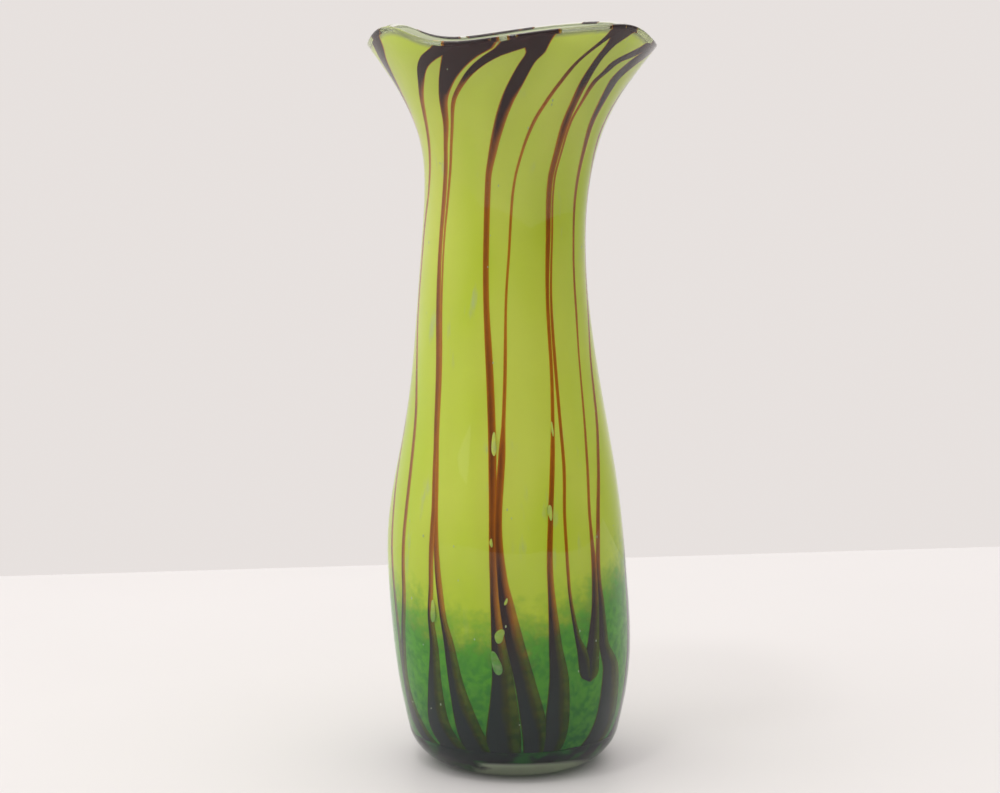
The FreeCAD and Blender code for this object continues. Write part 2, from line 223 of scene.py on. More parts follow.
class Wall:
    """Points on the wall at an angle, a height and a depth below the outer surface"""

    def __init__(self):
        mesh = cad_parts["clear_casing"].data
        tree = BVHTree.FromPolygons([v.co for v in mesh.vertices],
                                    [tuple(p.vertices) for p in mesh.polygons])
        heights, spans = [], []
        for share in RING_SHARES:
            level = share * HEIGHT
            heights.append(level)
            spans.append([self.outside(tree, level, toward)
                          for toward in (Vector((1, 0, 0)), Vector((-1, 0, 0)),
                                         Vector((0, 1, 0)), Vector((0, -1, 0)))])
        right, left, back, front = np.array(spans).T
        self.half_x = round_curve(heights, (right + left) / 2)
        self.half_y = round_curve(heights, (back + front) / 2)
        self.middle_x = round_curve(heights, (right - left) / 2)
        self.middle_y = round_curve(heights, (back - front) / 2)
        span = self.half_x(HEIGHT)
        own = sizes()
        wave = [(-1.46, 7 * own.left_tip_drop), (-0.915, own.left_tip_drop),
                (-0.86, own.left_lobe_drop), (-0.62, own.left_slope_drop), (-0.17, own.dip_drop),
                (0.22, own.right_slope_drop), (0.62, own.right_lobe_drop),
                (0.80, own.right_shoulder_drop), (0.915, own.right_tip_drop),
                (1.46, 4 * own.right_tip_drop)]
        self.rim_curve = round_curve([x * span for x, drop in wave],
                                     [own.overall_height - drop for x, drop in wave])

    @staticmethod
    def outside(tree, level, toward):
        """How far out the casing's outside is, at a height and in a direction."""
        start = toward * 0.2 + Vector((0, 0, level))
        return tree.ray_cast(start, -toward)[0].dot(toward)

    def rim(self, angle):
        """Height of the rim at an angle: a wave across the vase that rises towards the back.

        The wall leans out, so the height is found little by little.
        """
        level = np.full_like(np.asarray(angle, float), HEIGHT)
        for _ in range(30):
            across = self.middle_x(level) + self.half_x(level) * np.sin(angle)
            back = self.middle_y(level) - self.half_y(level) * np.cos(angle)
            wanted = self.rim_curve(across) + sizes().rim_slope * back
            level = level + 0.4 * (wanted - level)
        return level

    def point(self, angle, level, depth, inset=0.0):
        inward = depth + inset
        x = self.middle_x(level) + (self.half_x(level) - inward) * np.sin(angle)
        y = self.middle_y(level) - (self.half_y(level) - inward) * np.cos(angle)
        return np.stack(np.broadcast_arrays(x, y, level), axis=-1)


def angles(count=ROUND):
    return np.linspace(0, 2 * math.pi, count, endpoint=False)


class Surface:
    """One surface of the wall: its depth, its floor and the rounding between them"""

    def __init__(self, wall, depth, floor, rounding):
        self.wall, self.depth, self.floor, self.rounding = wall, depth, floor, rounding

    def inset(self, level):
        below = np.clip(self.rounding - (np.asarray(level, float) - self.floor), 0, self.rounding)
        return self.rounding - np.sqrt(np.maximum(self.rounding ** 2 - below ** 2, 0))

    def at(self, angle, level, proud=0.0):
        """A point on the surface, or proud of it by that much."""
        return self.wall.point(angle, level, self.depth - proud, self.inset(level))

    def levels(self, top, rows):
        """Heights of the rings from the floor to the top, close together at the rounding."""
        full = math.acos(1 - min(1.0, (top - self.floor) / self.rounding))
        low = self.floor + self.rounding * (1 - np.cos(np.linspace(0, full, 22)[1:]))
        if top <= self.floor + self.rounding:
            return low
        return np.concatenate([low, np.linspace(low[-1], top, rows)[1:]])

    def rings(self, rows, top, angle, rim=None):
        """Rings from the floor's edge up to a level top, or up to a wavy one."""
        made = []
        for level in self.levels(top, rows):
            height = np.full_like(angle, level)
            if rim is not None:
                height = height + (rim - top) * ease(level, 0.72 * top, top)
            made.append(self.at(angle, height))
        return made

    def floor_rings(self, angle, count=14):
        """Level rings from near the middle out to the edge of the flat floor."""
        edge = self.at(angle, np.full_like(angle, self.floor))
        centre = edge.mean(axis=0)
        return [centre + (edge - centre) * (k / count) for k in range(1, count + 1)]


# ---------------------------------------------------------------------------------------------
# Meshes
# ---------------------------------------------------------------------------------------------


def piece_from(name, points, faces, smooth=True):
    mesh = bpy.data.meshes.new(name)
    mesh.from_pydata([tuple(p) for p in points], [], faces)
    mesh.validate()
    made = bpy.data.objects.new(name, mesh)
    bpy.context.scene.collection.objects.link(made)
    if smooth:
        mesh.polygons.foreach_set("use_smooth", [True] * len(mesh.polygons))
    return made


def closed_skin(rings):
    """Points and faces of a closed skin: rings in order, with a pole at each end.

    The first pole is under the first ring and the last is inside the last ring, so that the
    faces point outwards when the rings go up the outside and down the inside.
    """
    count = len(rings[0])
    points = [rings[0].mean(axis=0)]
    for ring in rings:
        points.extend(ring)
    points.append(rings[-1].mean(axis=0))
    faces = []
    for i in range(count):
        after = (i + 1) % count
        faces.append((0, 1 + after, 1 + i))
        for row in range(len(rings) - 1):
            low, high = 1 + row * count, 1 + (row + 1) * count
            faces.append((low + i, low + after, high + after, high + i))
        last = 1 + (len(rings) - 1) * count
        faces.append((last + i, last + after, len(points) - 1))
    return points, faces


def joined_rings(rings, closed=False):
    """Points and faces of rings joined to one another, and the last to the first if closed."""
    count = len(rings[0])
    points = [p for ring in rings for p in ring]
    faces = []
    for row in range(len(rings) if closed else len(rings) - 1):
        low, high = row * count, (row + 1) % len(rings) * count
        for i in range(count):
            after = (i + 1) % count
            faces.append((low + i, low + after, high + after, high + i))
    return points, faces


def add_attribute(made, name, values):
    data = made.data.attributes.new(name, "FLOAT", "POINT")
    data.data.foreach_set("value", np.asarray(values, np.float32))


def keep(made, material, node, slot, *more_nodes):
    made.data.materials.clear()
    made.data.materials.append(material)
    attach(made, "root")
    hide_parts(node, *more_nodes)
    return made


# ---------------------------------------------------------------------------------------------
# Shaders
# ---------------------------------------------------------------------------------------------


class Term:
    """A shader value that Python's operators add Math nodes to"""

    def __init__(self, finish, socket):
        self.finish, self.socket = finish, socket

    def math(self, operation, *others, clamp=False):
        return self.finish.math(operation, self, *others, clamp=clamp)

    def __add__(self, other):
        return self.math("ADD", other)

    def __sub__(self, other):
        return self.math("SUBTRACT", other)

    def __mul__(self, other):
        return self.math("MULTIPLY", other)

    def __rsub__(self, other):
        return self.finish.math("SUBTRACT", other, self)

    __radd__, __rmul__ = __add__, __mul__

    def clamped(self):
        return self.math("ADD", 0.0, clamp=True)

    def between(self, low, high):
        """0 below low, 1 above high, eased between."""
        return self.finish.node("ShaderNodeMapRange", {"interpolation_type": "SMOOTHSTEP"},
                                {"Value": self, "From Min": low, "From Max": high})


class Finish:
    """A material and its nodes"""

    def __init__(self, name, **constants):
        self.material = bpy.data.materials.new(name)
        self.material.use_nodes = True
        self.tree = self.material.node_tree
        self.shader = self.tree.nodes["Principled BSDF"]
        for socket, value in constants.items():
            self.shader.inputs[socket.replace("_", " ")].default_value = value

    def node(self, kind, settings=None, sockets=None, output=0):
        """Adds a node, sets its settings, then its sockets' values or links."""
        made = self.tree.nodes.new(kind)
        for key, value in (settings or {}).items():
            setattr(made, key, value)
        for key, value in (sockets or {}).items():
            socket = made.inputs[key]
            if isinstance(value, Term):
                self.tree.links.new(value.socket, socket)
            else:
                socket.default_value = value
        return Term(self, made.outputs[output])

    def math(self, operation, *values, clamp=False):
        return self.node("ShaderNodeMath", {"operation": operation, "use_clamp": clamp},
                         dict(enumerate(values)))

    def mix(self, share, first, second, blend="MIX"):
        """Mixes two colours; sockets 6 and 7 are a Mix node's colours, and output 2 its result."""
        paint = [value if isinstance(value, Term) else (*value, 1.0) for value in (first, second)]
        return self.node("ShaderNodeMix", {"data_type": "RGBA", "blend_type": blend},
                         {0: share, 6: paint[0], 7: paint[1]}, output=2)

    def place(self, scale=(1, 1, 1)):
        """Object coordinates, stretched."""
        spot = self.node("ShaderNodeTexCoord", output=3)
        return self.node("ShaderNodeMapping", sockets={"Vector": spot, "Scale": scale})

    def noise(self, size_mm, detail=2.0, roughness=0.5, stretch=1.0, seed=0.0, distortion=0.0):
        """Clouds of about that size, longer by stretch along the vase."""
        per_metre = 1000.0 / size_mm
        spot = self.place((per_metre, per_metre, per_metre / stretch))
        return self.node("ShaderNodeTexNoise", {"noise_dimensions": "4D"},
                         {"Vector": spot, "W": seed, "Scale": 1.0, "Detail": detail,
                          "Roughness": roughness, "Distortion": distortion})

    def height(self):
        """Height above the foot, in metres."""
        spot = self.node("ShaderNodeTexCoord", output=3)
        return self.node("ShaderNodeSeparateXYZ", sockets={"Vector": spot}, output=2)

    def sideways(self):
        """Distance to the right of the vase's axis, in metres."""
        spot = self.node("ShaderNodeTexCoord", output=3)
        return self.node("ShaderNodeSeparateXYZ", sockets={"Vector": spot}, output=0)

    def attribute(self, name):
        return self.node("ShaderNodeAttribute", {"attribute_name": name}, output=2)

    def paint(self, **sockets):
        for name, term in sockets.items():
            self.tree.links.new(term.socket, self.shader.inputs[name.replace("_", " ")])
        return self.material


def coloured_glass(finish):
    """The lime with its clouds and grey streaks, going over to emerald powder near the foot."""
    own = colours()
    clouds = finish.noise(38, detail=2.0, stretch=2.6, seed=1.0)
    lime = finish.mix(clouds.between(0.35, 0.72), tuple(own.lime), tuple(own.lime_deep))
    streaks = finish.noise(7, detail=3.0, roughness=0.6, stretch=4.5, seed=5.0)
    places = finish.noise(24, detail=1.0, stretch=1.4, seed=9.0)
    grey = streaks.between(0.56, 0.72) * places.between(0.50, 0.64) * 0.7
    lime = finish.mix(grey, lime, tuple(own.lime_grey))
    height, sideways = finish.height(), finish.sideways()
    lime = finish.mix((1 - height.between(0.060, 0.125)) * 0.75, lime, tuple(own.lime_low))
    lime = finish.mix(finish.attribute("edge") * 0.8, lime, tuple(own.opal))
    ragged = finish.noise(11, detail=5.0, roughness=0.62, seed=3.0)
    specks = finish.noise(3.2, detail=3.0, roughness=0.6, seed=13.0)
    edge = height + (ragged - 0.5) * 0.036 + (specks - 0.5) * 0.018
    edge = edge - sideways * 0.15 - sideways * sideways * 8.0
    powder = 1 - edge.between(0.051, 0.079)
    dense = 1 - (height + (ragged - 0.5) * 0.030).between(0.010, 0.046)
    speckled = (specks.between(0.38, 0.64) * 0.40 + ragged.between(0.40, 0.62) * 0.25 + dense * 0.6)
    speckled = speckled.clamped()
    green = finish.mix(speckled, tuple(own.green), tuple(own.green_deep))
    return finish.mix(powder, lime, green)


def lime_material():
    finish = Finish("lime_finish", Roughness=0.55, Specular_IOR_Level=0.0)
    return finish.paint(Base_Color=coloured_glass(finish))


def dark_material():
    """Dark glass by its thickness: a stain on the lime, amber, brown, then near black."""
    own = colours()
    finish = Finish("dark_finish", Roughness=0.5, Specular_IOR_Level=0.0)
    under = coloured_glass(finish)
    thick = finish.attribute("thickness")
    wisps = finish.noise(5, detail=3.0, stretch=9.0, seed=21.0)
    thick = (thick * (0.80 + wisps * 0.40)).clamped()
    low = 1 - finish.height().between(0.030, 0.085)
    deepest = finish.mix(low, tuple(own.dark), tuple(own.slate))
    stain = finish.mix(thick.between(0.12, 0.55), tuple(own.amber), tuple(own.brown))
    stained = finish.mix(thick.between(0.0, 0.16), under, finish.mix(1.0, under, stain, "MULTIPLY"))
    return finish.paint(Base_Color=finish.mix(thick.between(0.46, 0.95), stained, deepest))


def pool_material():
    own = colours()
    finish = Finish("pool_finish", Roughness=0.5, Specular_IOR_Level=0.0)
    clouds = finish.noise(9, detail=3.0, seed=31.0)
    dark = finish.mix(clouds.between(0.45, 0.75), tuple(own.slate), tuple(own.green_deep))
    # Painted light: below 8.3 mm the pool's underside takes the pale foot-light colour, except at the
    # far left, for floor light seen through the clear base
    foot_light_reach = (clouds - 0.5) * 0.020 + finish.sideways()
    pale = foot_light_reach.between(-0.012, -0.006) * (1 - finish.height().between(0.0083, 0.0092))
    return finish.paint(Base_Color=finish.mix(pale, dark, tuple(own.ground)))


def opal_material():
    own = colours()
    finish = Finish("opal_finish", Roughness=0.12, IOR=1.5)
    clouds = finish.noise(30, detail=2.0, stretch=2.0, seed=41.0)
    return finish.paint(Base_Color=finish.mix(clouds.between(0.3, 0.8) * 0.6, tuple(own.opal),
                                              tuple(own.lime_grey)))


def clear_material():
    own = colours()
    finish = Finish("clear_finish", Roughness=0.0, IOR=1.45, Transmission_Weight=1.0,
                    Base_Color=(*own.clear, 1.0))
    return finish.material


def blister_material():
    """Lime or emerald seen through a thin skin of glass, with a painted pale sheen for light reflected
    off the trapped air.
    """
    own = colours()
    finish = Finish("blister_finish", Roughness=0.5, Specular_IOR_Level=0.0)
    clouds = finish.noise(2.5, detail=2.0, seed=51.0)
    painted_sheen = clouds.between(0.3, 0.7) * 0.30 + 0.12
    return finish.paint(Base_Color=finish.mix(painted_sheen, coloured_glass(finish), tuple(own.bubble)))


def seed_material():
    own = colours()
    finish = Finish("seed_finish", Roughness=0.2, Specular_IOR_Level=0.3)
    clouds = finish.noise(4, seed=61.0)
    # Painted glint: the opaque seeds are pale grey-green with lighter patches, standing for light
    # reflected off the air in them
    pale = tuple(min(1.0, 1.25 * part) for part in own.bubble)
    return finish.paint(Base_Color=finish.mix(clouds.between(0.3, 0.7), pale, tuple(own.bubble)))


def foot_light_material():
    own = colours()
    # Painted light: the foot ring's pale glow, with darker patches in it, standing for floor light seen
    # through the base
    finish = Finish("foot_light_finish", Roughness=0.7, Specular_IOR_Level=0.0)
    light_patches = finish.noise(1.5, detail=4.0, roughness=0.7, seed=71.0)
    darker = tuple(0.75 * part for part in own.ground)
    return finish.paint(Base_Color=finish.mix(light_patches.between(0.35, 0.75), tuple(own.ground),
                                              darker))


def shared(name, maker):
    """The material of that name, made the first time that it is asked for."""
    return bpy.data.materials.get(name) or maker()


# ---------------------------------------------------------------------------------------------
# Layers of glass
# ---------------------------------------------------------------------------------------------


class Layers:
    """The surfaces between the layers, from the outside in"""

    def __init__(self):
        own, wall = sizes(), Wall()
        self.wall = wall
        trail_depth = own.cover_wall
        colour_depth = trail_depth + own.trail_wall
        lining_depth = colour_depth + own.lime_wall
        bore_depth = lining_depth + own.lining_wall
        pool_floor = own.base_wall
        colour_floor = pool_floor + own.trail_wall
        lining_floor = colour_floor + own.lime_wall
        self.outside = Surface(wall, 0.0, 0.0, own.heel_round)
        self.trails = Surface(wall, trail_depth, pool_floor, own.bubble_round + own.trail_wall)
        self.colour = Surface(wall, colour_depth, colour_floor, own.bubble_round)
        self.lining = Surface(wall, lining_depth, lining_floor, own.bubble_round - own.lime_wall)
        self.bore = Surface(wall, bore_depth, lining_floor + own.lining_wall,
                            own.bubble_round - own.lime_wall - own.lining_wall)


def cup(outer, inner, top, rows, angle, rim=None):
    """Points and faces of a closed cup between two surfaces, with a rounded upper edge."""
    out = outer.floor_rings(angle) + outer.rings(rows, top, angle, rim)
    back = inner.floor_rings(angle) + inner.rings(rows, top, angle, rim)
    over = (out[-1] + back[-1]) / 2 + np.array([0, 0, 0.4]) * (inner.depth - outer.depth)
    return closed_skin(out + [over] + back[::-1])


class VASE_OT_lime_overlay(bpy.types.Operator):
    """Makes the lime glass, from its rounded bottom to just under the lip"""
    bl_idname = "vase.lime_overlay"
    bl_label = "Lime glass"

    def execute(self, context):
        layers, angle = Layers(), angles()
        top = HEIGHT - sizes().clear_lip
        rim = layers.wall.rim(angle) - sizes().clear_lip
        points, faces = cup(layers.colour, layers.lining, top, SHELL_ROWS, angle, rim)
        made = piece_from("lime_overlay_glass", points, faces)
        below_rim = np.array(points)[1:-1, 2].reshape(-1, len(angle)) - rim
        edge = ease(below_rim, -1.6 * MM, -0.3 * MM)
        add_attribute(made, "edge", np.concatenate([[0], edge.ravel(), [0]]))
        keep(made, shared("lime_finish", lime_material), "lime_overlay", "lime_glass")
        return {"FINISHED"}


class VASE_OT_powder_band(bpy.types.Operator):
    """Makes the band of emerald powder that lies on the lowest part of the lime"""
    bl_idname = "vase.powder_band"
    bl_label = "Emerald powder"

    def execute(self, context):
        layers, angle = Layers(), angles()
        outer = Surface(layers.wall, layers.colour.depth - LIFT, layers.colour.floor - LIFT,
                        layers.colour.rounding + LIFT)
        inner = Surface(layers.wall, layers.colour.depth + sizes().lime_wall / 2,
                        layers.colour.floor + sizes().lime_wall / 2,
                        layers.colour.rounding - sizes().lime_wall / 2)
        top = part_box("green_powder_band")[1].z
        points, faces = cup(outer, inner, top, POWDER_ROWS, angle)
        made = piece_from("green_powder_glass", points, faces)
        keep(made, shared("lime_finish", lime_material), "green_powder_band", "green_glass")
        return {"FINISHED"}


class VASE_OT_inner_lining(bpy.types.Operator):
    """Makes the opal lining that shows inside the mouth"""
    bl_idname = "vase.inner_lining"
    bl_label = "Opal lining"

    def execute(self, context):
        layers, angle = Layers(), angles()
        top = HEIGHT - sizes().clear_lip
        rim = layers.wall.rim(angle) - sizes().clear_lip
        points, faces = cup(layers.lining, layers.bore, top, SHELL_ROWS, angle, rim)
        made = piece_from("inner_lining_glass", points, faces)
        keep(made, shared("opal_finish", opal_material), "inner_lining", "opal_glass")
        return {"FINISHED"}


class VASE_OT_base_pool(bpy.types.Operator):
    """Makes the dark glass under the bubble that the trails run into"""
    bl_idname = "vase.base_pool"
    bl_label = "Dark pool"

    def execute(self, context):
        layers, angle = Layers(), angles()
        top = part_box("dark_base_pool")[1].z - sizes().pool_drop
        points, faces = cup(layers.trails, layers.colour, top, POOL_ROWS, angle)
        made = piece_from("dark_pool_glass", points, faces)
        keep(made, shared("pool_finish", pool_material), "dark_base_pool", "dark_glass")
        return {"FINISHED"}


class VASE_OT_clear_casing(bpy.types.Operator):
    """Makes the clear glass: outside, lip, thick base and polished pontil hollow"""
    bl_idname = "vase.clear_casing"
    bl_label = "Clear casing"

    def execute(self, context):
        own, layers, angle = sizes(), Layers(), angles()
        rings = self.pontil(layers.outside, angle)
        rings += layers.outside.floor_rings(angle)[6:]
        lip_rise = LIP_SHARE * layers.bore.depth
        rim = layers.wall.rim(angle) - lip_rise
        rings += layers.outside.rings(SHELL_ROWS, HEIGHT - lip_rise, angle, rim)
        rings += self.lip(layers, angle, rim, lip_rise)
        edge = layers.wall.rim(angle) - own.clear_lip - TUCK
        rings.append(layers.bore.at(angle, edge))
        pocket = Surface(layers.wall, layers.colour.depth + TUCK, layers.colour.floor + TUCK,
                         layers.colour.rounding - TUCK)
        down = pocket.rings(SHELL_ROWS, HEIGHT - own.clear_lip, angle, edge)
        rings += down[::-1]
        rings += pocket.floor_rings(angle)[::-1]
        made = piece_from("clear_casing_glass", *closed_skin(rings))
        keep(made, shared("clear_finish", clear_material), "clear_casing", "clear_glass")
        return {"FINISHED"}

    @staticmethod
    def pontil(outside, angle, count=10):
        """Rings of the polished hollow, from its middle out to its edge."""
        own = sizes()
        centre = outside.at(angle, np.full_like(angle, 0.0)).mean(axis=0)
        rings = []
        for k in range(1, count + 1):
            share = k / count
            ring = np.stack([np.sin(angle), -np.cos(angle), np.zeros_like(angle)], axis=-1)
            ring = centre + ring * own.pontil_radius * share
            ring[:, 2] = own.pontil_depth * (1 - share ** 2)
            rings.append(ring)
        return rings

    @staticmethod
    def lip(layers, angle, rim, rise, count=12):
        """Rings over the lip, leaning out as the mouth does."""
        out, back = layers.outside.at(angle, rim), layers.bore.at(angle, rim)
        middle, half = (out + back) / 2, (out - back) / 2
        steep = layers.outside.at(angle, rim) - layers.outside.at(angle, rim - MM)
        steep /= np.linalg.norm(steep, axis=1)[:, None]
        up = steep * rise
        return [middle + half * math.cos(turn) + up * math.sin(turn)
                for turn in np.linspace(0, math.pi, count)[1:]]


# ---------------------------------------------------------------------------------------------
# Dark trails
# ---------------------------------------------------------------------------------------------

# Each trail's course from the lip down: height, degrees round from the front (to the right is
# plus), and width, in millimetres. A last height of 0 takes the trail into the dark pool.
LEFT_EDGE = [(305, -63, 11), (297, -67.5, 10.5), (291, -73.5, 9), (283, -78.4, 6),
             (262, -87, 2.6), (235, -95, 2.2), (200, -97, 2.4), (165, -93, 2.4), (127, -83, 2.6),
             (103, -75.5, 2.6), (78, -73, 2.8), (56, -71, 3.4), (40, -70, 5), (22, -68, 8),
             (0, -66, 9)]
LEFT = [(305, -18, 22), (297, -25, 17), (293, -36, 10), (289, -43, 6), (283, -49, 3.9),
        (275, -56, 2.8), (255, -67, 2.2), (237, -74, 2.1), (220, -81, 2.6), (193, -82, 2.6),
        (169, -75, 2.3), (145, -66, 2.4), (105, -60, 2.4), (80, -60.5, 2.8), (54, -66, 4.2),
        (37, -69, 6), (20, -64, 9), (0, -62, 12)]
SWEEP = [(305, -17, 26), (297, -18, 22), (293, -22.5, 15.3), (289, -27, 11.2), (283, -33, 7.3),
         (275, -39, 4.2), (267, -42, 3.1), (255, -47.5, 2.3), (237, -50.7, 2.5), (219, -52, 2.3),
         (195, -50.4, 2.8), (171, -47.4, 3.0), (147, -45, 2.6), (131, -42.3, 2.3), (108, -38.7, 2.8),
         (84, -39.5, 2.3), (68, -41.2, 3.2), (58, -40.6, 4.4), (41, -42.5, 7.4), (24, -44, 12.2),
         (0, -41, 17)]
SWEEP_THREAD = [(305, 8, 22), (297, 0, 13), (293, -9, 6.9), (289, -16, 4.7), (283, -24, 2.9),
                (275, -32.5, 2.1), (267, -37, 1.6), (255, -42.6, 1.5), (237, -46.6, 1.3),
                (219, -48.3, 1.1), (195, -47.2, 1.0), (171, -45, 1.2), (147, -43.4, 1.3),
                (120, -38.5, 1.6), (104, -36.5, 2.2), (84, -34.9, 3.0), (69, -33.6, 3.2),
                (59.6, -31.7, 4.7), (43, -29.5, 7), (26, -25.6, 11), (0, -22, 15)]
MIDDLE = [(305, 9, 18), (299, 8.5, 12), (295, 9, 8), (291, 6.3, 6.1), (283, 2, 6.2),
          (275, -2.5, 5.4), (268, -6, 4.6), (256, -11, 3.4), (244, -14, 2.5), (220, -12.9, 2.4),
          (196, -11.7, 2.4), (173, -10, 3), (149, -8.6, 3.2), (133, -7.6, 3.3), (110, -6.5, 3),
          (86, -6.1, 3.5), (77, -6.3, 3.9), (61, -6.2, 5.6), (44, -5.2, 9), (28, -5.6, 13),
          (0, -7, 17)]
MIDDLE_THREAD = [(305, 41, 8), (300, 37, 3.2), (297, 34, 2.4), (291, 28.4, 1.9), (283, 23.6, 1.9),
                 (275, 18.7, 1.8), (268, 14.2, 1.6), (256, 8.5, 1.2), (244, 4.8, 1.05),
                 (237, 4.1, 1.1), (220, 4, 1.05), (196, 2, 1.05), (173, 0.5, 1.4), (149, -1.5, 1.6),
                 (133, -2.6, 3.0), (110, -3.7, 3.2), (86, -2.3, 4.6), (77, -1.1, 6.0), (61, 1.6, 7.6),
                 (44, 5.7, 8.6), (28, 9.7, 10.5), (0, 13.7, 11)]
RIGHT = [(305, 45, 15), (300.6, 43, 9.6), (297, 40.7, 5), (291, 38.2, 3.8), (283, 36.8, 4.2),
         (275, 36, 3.7), (267, 34.7, 3.6), (256, 33.3, 3), (244, 31.3, 2.6), (220, 33.4, 2.3),
         (196, 32.2, 1.7), (172, 31.2, 1.6), (148, 28.3, 1.7), (133, 26.1, 2.2), (109, 23, 2.4),
         (85, 21.3, 2.8), (60, 21.5, 5.6), (44, 22.9, 8.7), (27, 22.8, 10.6), (0, 23.3, 11)]
RIGHT_THREAD = [(305, 76, 13), (298, 69, 13), (293, 56, 9.5), (290.6, 49.8, 5.5), (286.7, 46.6, 3.7),
                (283, 43.2, 2.9), (275, 41.2, 1.7), (267, 38.4, 1.4), (256, 37, 1.1), (244, 34.8, 1.0),
                (220, 36.9, 1.0), (196, 35.2, 1.2), (172, 34.2, 1.6), (148, 33.3, 1.5),
                (132, 33, 1.6), (108, 31, 1.5), (84, 31, 1.5), (62, 33.5, 2.6), (54, 36.5, 5.5),
                (49, 38.5, 8), (42, 40, 8.5)]
OUTER = [(305, 92, 19), (298, 82, 19), (293, 70.6, 15), (290.4, 65, 11), (283, 58, 6.6),
         (275, 58.3, 5.1), (267, 57.6, 3.7), (255, 58.8, 2.7), (243, 58.5, 2.1), (237, 58.6, 1.9),
         (219, 60, 1.5), (195, 59.6, 1.6), (171, 56.2, 1.2), (147, 52.6, 1.4), (131, 50, 1.6),
         (107, 47.2, 1.7), (91, 47.4, 2.9), (74, 46.4, 4.2), (60, 43.8, 6.2), (50, 42, 8.5),
         (41.5, 41, 9)]
RIGHT_EDGE = [(305, 104, 8), (290, 90, 5), (275, 80, 3.4), (262, 78, 2.9), (240, 86, 3),
              (218, 88, 3), (193, 82.5, 2.6), (170, 72, 2.1), (145, 66, 2.3), (130, 60.4, 2.3),
              (106, 53.3, 2.6), (82, 50, 3.1), (74, 50.4, 4.1), (57, 50.7, 6.1), (44, 57, 12),
              (22, 58, 16), (0, 58, 18)]
SIDE = [(305, 120, 7), (283, 112, 4), (262, 108, 3), (220, 112, 2.4), (172, 104, 2), (130, 96, 2.2),
        (100, 90, 2.6), (80, 83, 4), (55, 82, 8), (38, 82, 12), (24, 83, 13), (0, 84, 14)]
LEFT_BACK = [(305, -100, 6), (283, -101, 3.6), (262, -104, 2.6), (220, -112, 2.2), (172, -113, 1.8),
             (130, -110, 2), (100, -104, 2.4), (80, -100, 3), (58, -98, 6), (40, -95, 9),
             (26, -94, 12), (0, -94, 15)]

# The trails in order round the vase, each with its course and how far that course is turned.
TRAILS = [(LEFT_EDGE, 0), (LEFT, 0), (SWEEP, 0), (SWEEP_THREAD, 0), (MIDDLE, 0),
          (MIDDLE_THREAD, 0), (RIGHT, 0), (RIGHT_THREAD, 0), (OUTER, 0), (RIGHT_EDGE, 0), (SIDE, 0),
          (RIGHT_EDGE, 44), (OUTER, 88), (SWEEP, 205), (SWEEP_THREAD, 205), (MIDDLE, 205),
          (MIDDLE_THREAD, 205), (RIGHT, 205), (LEFT_BACK, 0)]
ACROSS = 13                 # points across a trail
DOWN_STEP = 1.4             # millimetres between its rows
SUNK = 0.12 * MM            # how far a trail's underside lies in the lime
# How a trail lies over the colour's upper edge: share of the way out, and millimetres above it.
OVER_EDGE = [(0.0, 0.3), (0.2, 0.8), (0.45, 1.0), (0.75, 0.95), (1.0, 0.6)]


